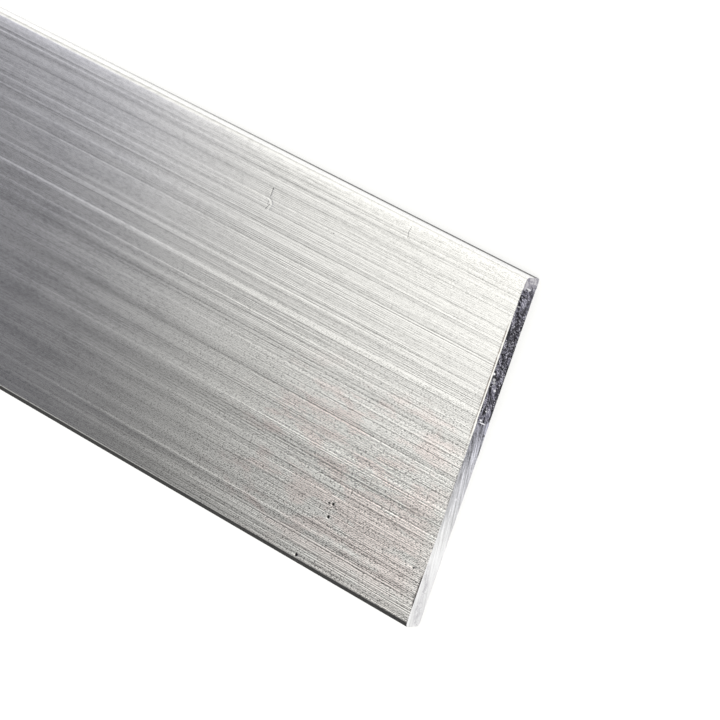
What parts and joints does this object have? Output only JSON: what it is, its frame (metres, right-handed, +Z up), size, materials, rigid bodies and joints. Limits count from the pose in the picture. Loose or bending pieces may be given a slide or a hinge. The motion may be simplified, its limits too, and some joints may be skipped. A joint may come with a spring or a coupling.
{
  "type": "metal flat bar",
  "caption": "Extruded aluminium flat bar with slightly rounded long corners and square sawn ends, in plain mill finish.",
  "frame": {"origin": "middle of the underside, on the surface that the bar lies on", "axes": "+X along the length, towards the sawn end that shows, +Y across the width, +Z up through the thickness"},
  "size_m": [1, 0.05, 0.003],
  "materials": {
    "mill_aluminium": "mill finish, fine die lines along the length, sawn ends, light handling scratches"
  },
  "bodies": {
    "root": {"flat_bar": "mill_aluminium"}
  },
  "joints": []
}
